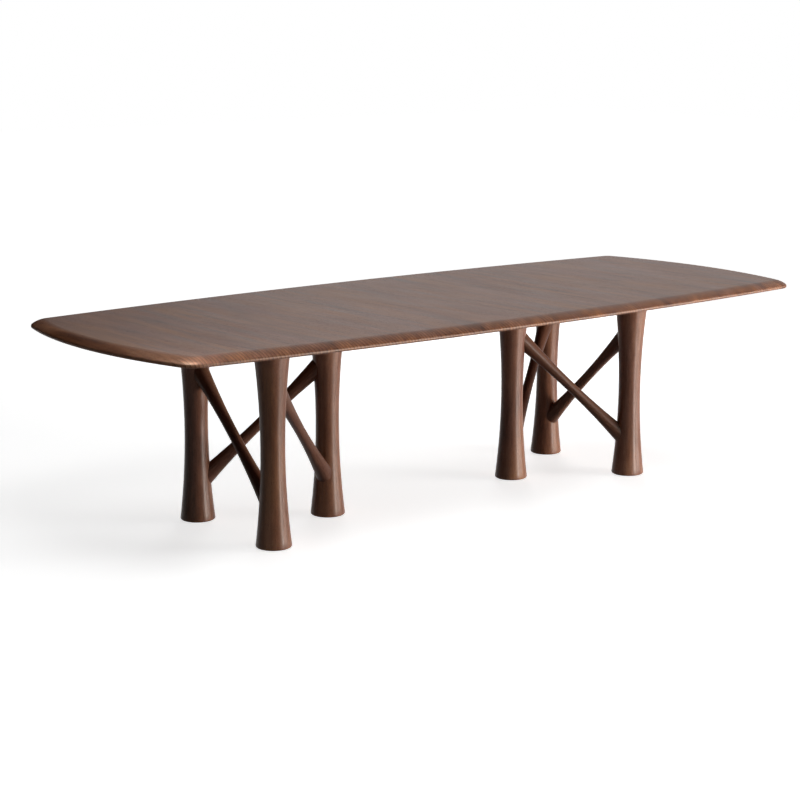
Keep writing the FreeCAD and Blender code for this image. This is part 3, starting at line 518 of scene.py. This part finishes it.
def cutterMesh():
    # closed cutters for the six plates and the two channels, taken from the places of the steel
    patches = []
    turn = np.linspace(0, 2 * math.pi, beds["steps"], endpoint=False)
    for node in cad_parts:
        if not node.endswith(("_plate", "_channel")):
            continue
        low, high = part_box(node)
        bottom = low.z - beds["below"]
        if node.endswith("_plate"):
            ceiling = low.z + beds["plateDepth"]
            centre = np.array((low + high) / 2)[:2]
            outline = np.stack([np.cos(turn), np.sin(turn)], -1) * beds["plateRadius"]
        else:
            gap = beds["channelGap"]
            ceiling = high.z + gap
            corners = np.array([[low.x - gap, low.y - gap], [high.x + gap, low.y - gap],
                                [high.x + gap, high.y + gap], [low.x - gap, high.y + gap]])
            centre = corners.mean(0)
            outline = corners - centre
        # rows from the middle below, out to the outline, up, and in to the middle above
        rows = [np.insert(centre + outline * size, 2, z, axis=1)
                for z, size in ((bottom, 0), (bottom, 1), (ceiling, 1), (ceiling, 0))]
        patches.append((np.array(rows), True))
    return closedMesh("bed_cutters", patches)


def cutMesh(mesh, cutter):
    # the mesh less the cutter, as a new mesh
    scene = bpy.context.scene
    blank = bpy.data.objects.new("blank", mesh)
    tool = bpy.data.objects.new("tool", cutter)
    for helper in (blank, tool):
        scene.collection.objects.link(helper)
    cut = blank.modifiers.new("beds", "BOOLEAN")
    cut.operation = "DIFFERENCE"
    cut.solver = "EXACT"
    cut.object = tool
    bpy.context.view_layer.update()
    result = bpy.data.meshes.new_from_object(blank.evaluated_get(bpy.context.evaluated_depsgraph_get()))
    bpy.data.objects.remove(blank)
    bpy.data.objects.remove(tool)
    return result


def makeTop():
    low, high = cadBounds
    length, width = high[0] - low[0], high[1] - low[1]
    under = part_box("front_channel")[0].z
    arcs = outlineArcs(top, length / 2, width / 2)
    rows = rimProfile(top, high[2] - under)
    cutter = cutterMesh()
    chance = np.random.default_rng(top["seed"])
    count = top["boardCount"]
    for index in range(count):
        node = f"top_board_{index + 1:02d}"
        lowX, highX = (corner.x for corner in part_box(node))
        if index == 0:
            blank = endBoard(node, arcs, rows, under, highX, -1)
        elif index == count - 1:
            blank = endBoard(node, arcs, rows, under, lowX, 1)
        else:
            blank = middleBoard(node, arcs, rows, under, lowX, highX)
        mesh = cutMesh(blank, cutter)
        smoothMesh(mesh)
        middle = (lowX + highX) / 2
        storeGrain(mesh, (middle, 0, under), (1, 0, 0), (0, 0, 1), (0, 1, 0), *drawWood(chance, top))
        mesh.name = f"walnut_board_{index + 1:02d}"
        addPiece(mesh.name, mesh, topWalnut, "walnut_top", node)
    bpy.data.meshes.remove(cutter)


makeTop()
print("top ready")


# Legs
leg = {
    "waistRadius": 0.0437,
    "footRadius": 0.065,
    "headRadius": 0.070,
    "waistHeight": 0.354,
    "footRound": 0.007,
    "bedRadius": 0.0452,
    "bedDepth": 0.004,
    "columns": 96,
    "rows": 40,
    "heelRows": 7,
    "pithAside": (0.08, 0.14),
    "pithBelow": (-0.05, 0.05),
}


def legRadius(z, low, high):
    # a leg's radius: the waist's, plus the rest times the square of the way from the waist to the foot or the head
    foot = low + leg["footRound"]
    lower = np.clip((leg["waistHeight"] - z) / (leg["waistHeight"] - foot), 0, None)
    upper = np.clip((z - leg["waistHeight"]) / (high - leg["waistHeight"]), 0, None)
    return (leg["waistRadius"] + (leg["footRadius"] - leg["waistRadius"]) * lower ** 2
            + (leg["headRadius"] - leg["waistRadius"]) * upper ** 2)


def lathe(profile, centre, columns):
    # surface turned round an upright axis, from rows of (radius, height)
    turn = np.linspace(0, 2 * math.pi, columns, endpoint=False)
    ring = np.stack([np.cos(turn), np.sin(turn)], -1)
    flat = profile[:, None, :1] * ring[None] + np.array(centre)
    up = np.broadcast_to(profile[:, 1][:, None, None], (*flat.shape[:2], 1))
    return np.concatenate([flat, up], -1)


def makeLeg(name, chance):
    low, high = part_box(name)
    centre = ((low.x + high.x) / 2, (low.y + high.y) / 2)
    sole = low.z
    heel = leg["footRound"]
    bed = leg["bedRadius"]
    bedTop = sole + leg["bedDepth"]
    turn = np.linspace(-math.pi / 2, 0, leg["heelRows"])
    heelArc = np.stack([leg["footRadius"] - heel + heel * np.cos(turn), sole + heel + heel * np.sin(turn)], -1)
    z = np.linspace(sole + heel, high.z, leg["rows"])[1:]
    side = np.stack([legRadius(z, sole, high.z), z], -1)
    start = [[0, bedTop], [bed, bedTop], [bed, sole]]
    profile = np.concatenate([start, heelArc, side, [[0, high.z]]])
    mesh = closedMesh(name, [(lathe(profile, centre, leg["columns"]), True)])
    smoothMesh(mesh)
    angle = chance.uniform(0, 2 * math.pi)
    across = (math.cos(angle), math.sin(angle), 0)
    depth = (-math.sin(angle), math.cos(angle), 0)
    storeGrain(mesh, (*centre, 0), across, depth, (0, 0, 1), *drawWood(chance, leg))
    mesh.name = f"turned_{name}"
    addPiece(mesh.name, mesh, legWalnut, "walnut_legs", name)
    return centre, (sole, high.z)


# Braces
brace = {
    "highLevel": 0.599,
    "lowLevel": 0.134,
    "waistRadius": 0.0193,
    "endRadius": 0.030,
    "shoulder": 0.078,  # along the axis, where the end radius is reached
    "bite": 0.0003,  # how far the wood runs into the leg, as a glued joint
    "searchStart": 0.030,  # along the axis, where the search for the leg's side begins and ends
    "searchEnd": 0.170,
    "halvings": 40,
    "columns": 64,
    "rows": 48,
    "pithAside": (0.05, 0.10),
    "pithBelow": (-0.04, 0.04),
}


def makeBrace(name, highLeg, lowLeg, chance):
    # waisted spindle between two legs' axes, trimmed to the side of each leg
    (highCentre, ends), (lowCentre, _) = highLeg, lowLeg
    start = np.array([*highCentre, brace["highLevel"]])
    finish = np.array([*lowCentre, brace["lowLevel"]])
    axis = finish - start
    length = np.linalg.norm(axis)
    axis /= length
    across = np.cross(axis, (0, 0, 1))
    across /= np.linalg.norm(across)
    depth = np.cross(axis, across)
    flare = brace["endRadius"] - brace["waistRadius"]
    rise = flare * (length / (length - 2 * brace["shoulder"])) ** 2
    turn = np.linspace(0, 2 * math.pi, brace["columns"], endpoint=False)
    ring = np.cos(turn)[:, None] * across + np.sin(turn)[:, None] * depth

    def pointsAt(reach):
        # points of the spindle's side; its radius grows with the square of the distance from mid-length
        middle = 2 * reach / length - 1
        radius = brace["waistRadius"] + rise * middle ** 2
        return start + reach[..., None] * axis + radius[..., None] * ring

    def trim(centre, near, far):
        # by halving, the reach at which each line of the spindle meets the side of a leg
        inside = np.full(len(turn), near)
        outside = np.full(len(turn), far)
        for _ in range(brace["halvings"]):
            middle = (inside + outside) / 2
            places = pointsAt(middle)
            distance = np.hypot(places[:, 0] - centre[0], places[:, 1] - centre[1])
            clear = distance > legRadius(places[:, 2], *ends) - brace["bite"]
            outside = np.where(clear, middle, outside)
            inside = np.where(clear, inside, middle)
        return (inside + outside) / 2

    first = trim(highCentre, brace["searchStart"], brace["searchEnd"])
    last = trim(lowCentre, length - brace["searchStart"], length - brace["searchEnd"])
    share = np.linspace(0, 1, brace["rows"])[:, None]
    side = pointsAt(first + (last - first) * share)
    caps = [(np.stack([np.broadcast_to(side[row].mean(0), side[row].shape), side[row]]), True) for row in (0, -1)]
    mesh = closedMesh(name, [(side, True), *caps])
    smoothMesh(mesh)
    storeGrain(mesh, start, across, depth, axis, *drawWood(chance, brace))
    mesh.name = f"spindle_{name}"
    addPiece(mesh.name, mesh, shadedBraceWalnut, "walnut_braces", name)


# round each base the legs follow one another this way, and each brace falls to the following leg
bases = {
    "seed": 5,
    "following": {
        "left": {"back": "front", "front": "inner", "inner": "back"},
        "right": {"back": "inner", "front": "back", "inner": "front"},
    },
}


def makeBases():
    chance = np.random.default_rng(bases["seed"])
    for side, following in bases["following"].items():
        legs = {place: makeLeg(f"{side}_{place}_leg", chance) for place in following}
        for place in following:
            makeBrace(f"{side}_{place}_brace", legs[place], legs[following[place]], chance)


makeBases()
print("bases ready")


# Steel, brass, nylon and plywood pieces keep their CAD shapes
finishes = {
    "_plate": blackSteel,
    "_channel": blackSteel,
    "_glide": darkNylon,
    "_screws": zincSteel,
    "_bolts": zincSteel,
    "_inserts": insertBrass,
    "_tongues": plywood,
}
for node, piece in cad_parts.items():
    for ending, material in finishes.items():
        if node.endswith(ending):
            piece.data.materials.clear()
            piece.data.materials.append(material)
print("hardware ready")


# Floor, light and camera
studio = {
    "floorSize": 40.0,
    "floorSeen": 0.80,  # floor as the camera and reflections see it
    "floorBounce": 0.06,  # floor as light on its way to the table sees it
    "liftNear": 0.72,  # white added to the floor for camera and reflections: near the table, and far from it
    "liftFar": 1.0,
    "liftFrom": 1.5,
    "liftTo": 5.0,
    "ambient": 0.015,
    "roughness": 0.9,  # of the floor and the cloth
}

# each lamp lights the surfaces, shows in reflections, or both; those below the top's level can't glare on it
lamps = {
    "key": {"power": 400.0, "size": (2.6, 0.60), "place": (3.9, -3.9, 0.40), "aim": (0, 0, 0.40),
            "lights": True, "mirrored": True, "spread": 180.0},
    # a narrow box further left, for the tall highlight on each leg
    "strip": {"power": 600.0, "size": (1.0, 0.75), "place": (1.9, -5.6, 0.35), "aim": (0, 0, 0.40),
              "lights": False, "mirrored": True, "spread": 180.0},
    # weak light from the front, and from straight behind for the views from there
    "front": {"power": 40.0, "size": (3.0, 0.8), "place": (0.4, -6.0, 0.45), "aim": (0, 0, 0.40),
              "lights": True, "mirrored": False, "spread": 180.0},
    "behind": {"power": 42.0, "size": (3.0, 0.4), "place": (3.9, 4.6, 0.55), "aim": (0, 0, 0.45),
               "lights": True, "mirrored": False, "spread": 50.0},
    # light from above, on the flat top
    "overLeft": {"power": 32.0, "size": (1.8, 1.0), "place": (-1.2, -1.5, 3.0), "aim": (-0.4, 0, 0.77),
                 "lights": True, "mirrored": False, "spread": 180.0},
    "overRight": {"power": 23.0, "size": (1.8, 1.0), "place": (2.2, 1.0, 3.2), "aim": (0.8, 0, 0.77),
                  "lights": True, "mirrored": False, "spread": 180.0},
    # a small box with a grid, for the glint on the corner nearest the camera
    "glint": {"power": 8.0, "size": (0.60, 0.45), "place": (-1.62, -0.60, 1.60), "aim": (-1.47, -0.52, 0.76),
              "lights": False, "mirrored": True, "spread": 50.0},
}

# cloth behind and beside the left end, seen in reflections alone: a painted reflection that glows white at its right
# edge and is black from there on, for dark surroundings on the left
cloth = {
    "centre": (-0.7, 0.0),
    "radius": 4.5,
    "fromAngle": 54.0,  # degrees from +X towards +Y
    "blackAngle": 80.0,
    "toAngle": 215.0,
    "foot": 0.02,
    "height": 6.5,
    "columns": 25,
    "colour": (0.02, 0.02, 0.02, 1),
}


def whiteForCamera(tree):
    # one for rays from the camera, in reflections and through glass, and nought for the light between surfaces
    path = addNode(tree, "LightPath").outputs
    seen = maths(tree, "ADD", path["Is Camera Ray"], path["Is Glossy Ray"])
    seen = maths(tree, "ADD", seen, path["Is Transmission Ray"])
    return maths(tree, "MINIMUM", seen, 1.0)


def makeFloor():
    half = studio["floorSize"] / 2
    mesh = bpy.data.meshes.new("floor")
    mesh.from_pydata([(-half, -half, 0), (half, -half, 0), (half, half, 0), (-half, half, 0)], [], [(0, 1, 2, 3)])
    floor = bpy.data.objects.new("floor", mesh)
    bpy.context.scene.collection.objects.link(floor)
    material, tree, shader = nodeTree("pale_floor")
    tone = remap(tree, whiteForCamera(tree), 0.0, 1.0, studio["floorBounce"], studio["floorSeen"])
    tree.links.new(tone, shader.inputs["Base Color"])
    shader.inputs["Roughness"].default_value = studio["roughness"]
    shader.inputs["Specular IOR Level"].default_value = 0.0
    place = addNode(tree, "TexCoord").outputs["Object"]
    away = addNode(tree, "VectorMath", {0: place}, operation="LENGTH").outputs["Value"]
    lift = remap(tree, away, studio["liftFrom"], studio["liftTo"], studio["liftNear"], studio["liftFar"])
    lift = maths(tree, "MULTIPLY", whiteForCamera(tree), lift)
    shader.inputs["Emission Color"].default_value = (1, 1, 1, 1)
    tree.links.new(lift, shader.inputs["Emission Strength"])
    mesh.materials.append(material)


def makeWorld():
    world = bpy.data.worlds.new("studio")
    bpy.context.scene.world = world
    world.use_nodes = True
    tree = world.node_tree
    background = tree.nodes["Background"]
    background.inputs["Color"].default_value = (1, 1, 1, 1)
    strength = remap(tree, whiteForCamera(tree), 0.0, 1.0, studio["ambient"], 1.0)
    tree.links.new(strength, background.inputs["Strength"])


def addLamp(name):
    settings = lamps[name]
    lamp = bpy.data.lights.new(name, "AREA")
    lamp.shape = "RECTANGLE"
    lamp.size, lamp.size_y = settings["size"]
    lamp.energy = settings["power"]
    lamp.spread = math.radians(settings["spread"])
    place = Vector(settings["place"])
    thing = bpy.data.objects.new(name, lamp)
    thing.location = place
    thing.rotation_euler = (Vector(settings["aim"]) - place).to_track_quat("-Z", "Y").to_euler()
    thing.visible_camera = False
    thing.visible_diffuse = settings["lights"]
    thing.visible_glossy = settings["mirrored"]
    bpy.context.scene.collection.objects.link(thing)


def makeCloth():
    turn = np.radians(np.linspace(cloth["fromAngle"], cloth["toAngle"], cloth["columns"]))
    flat = np.array(cloth["centre"]) + cloth["radius"] * np.stack([np.cos(turn), np.sin(turn)], -1)
    rows = [np.concatenate([flat, np.full((len(flat), 1), level)], 1) for level in (cloth["foot"], cloth["height"])]
    # painted reflection: it glows white where the angle round the centre is small, and is black from the black angle
    # on
    material, tree, shader = nodeTree("cloth")
    shader.inputs["Base Color"].default_value = cloth["colour"]
    shader.inputs["Roughness"].default_value = studio["roughness"]
    place = addNode(tree, "SeparateXYZ", {0: addNode(tree, "TexCoord").outputs["Object"]}).outputs
    along = maths(tree, "SUBTRACT", place["X"], cloth["centre"][0])
    angle = maths(tree, "ARCTAN2", maths(tree, "SUBTRACT", place["Y"], cloth["centre"][1]), along)
    glow = remap(tree, angle, math.radians(cloth["fromAngle"]), math.radians(cloth["blackAngle"]), 1.0, 0.0)
    shader.inputs["Emission Color"].default_value = (1, 1, 1, 1)
    tree.links.new(glow, shader.inputs["Emission Strength"])
    mesh = bpy.data.meshes.new("cloth")
    mesh.from_pydata(np.concatenate(rows).tolist(), [], gridFaces(2, cloth["columns"], 0, False).tolist())
    thing = bpy.data.objects.new("cloth", mesh)
    bpy.context.scene.collection.objects.link(thing)
    mesh.materials.append(material)
    thing.visible_camera = False
    thing.visible_diffuse = False
    thing.visible_transmission = False
    thing.visible_shadow = False


# the camera's place, turn and focal length were fitted to the photograph's outlines
view = {
    "place": (-4.8057, -5.7160, 1.9015),
    "yaw": 39.045,  # degrees from +Y towards +X
    "pitch": 11.575,  # degrees downward
    "roll": 0.125,
    "focalPixels": 1958.7,
    "imageWidth": 800,
    "sensor": 36.0,
    "farClip": 200,
}


def makeCamera():
    camera = bpy.data.cameras.new("camera")
    camera.sensor_width = view["sensor"]
    camera.lens = view["sensor"] * view["focalPixels"] / view["imageWidth"]
    camera.clip_end = view["farClip"]
    thing = bpy.data.objects.new("camera", camera)
    bpy.context.scene.collection.objects.link(thing)
    turn = (Matrix.Rotation(math.radians(-view["yaw"]), 4, "Z")
            @ Matrix.Rotation(math.radians(90 - view["pitch"]), 4, "X")
            @ Matrix.Rotation(math.radians(view["roll"]), 4, "Z"))
    thing.matrix_world = Matrix.Translation(view["place"]) @ turn
    bpy.context.scene.camera = thing


makeFloor()
makeWorld()
makeCloth()
for name in lamps:
    addLamp(name)
makeCamera()
bpy.context.scene.view_settings.view_transform = "Standard"
print("studio ready")
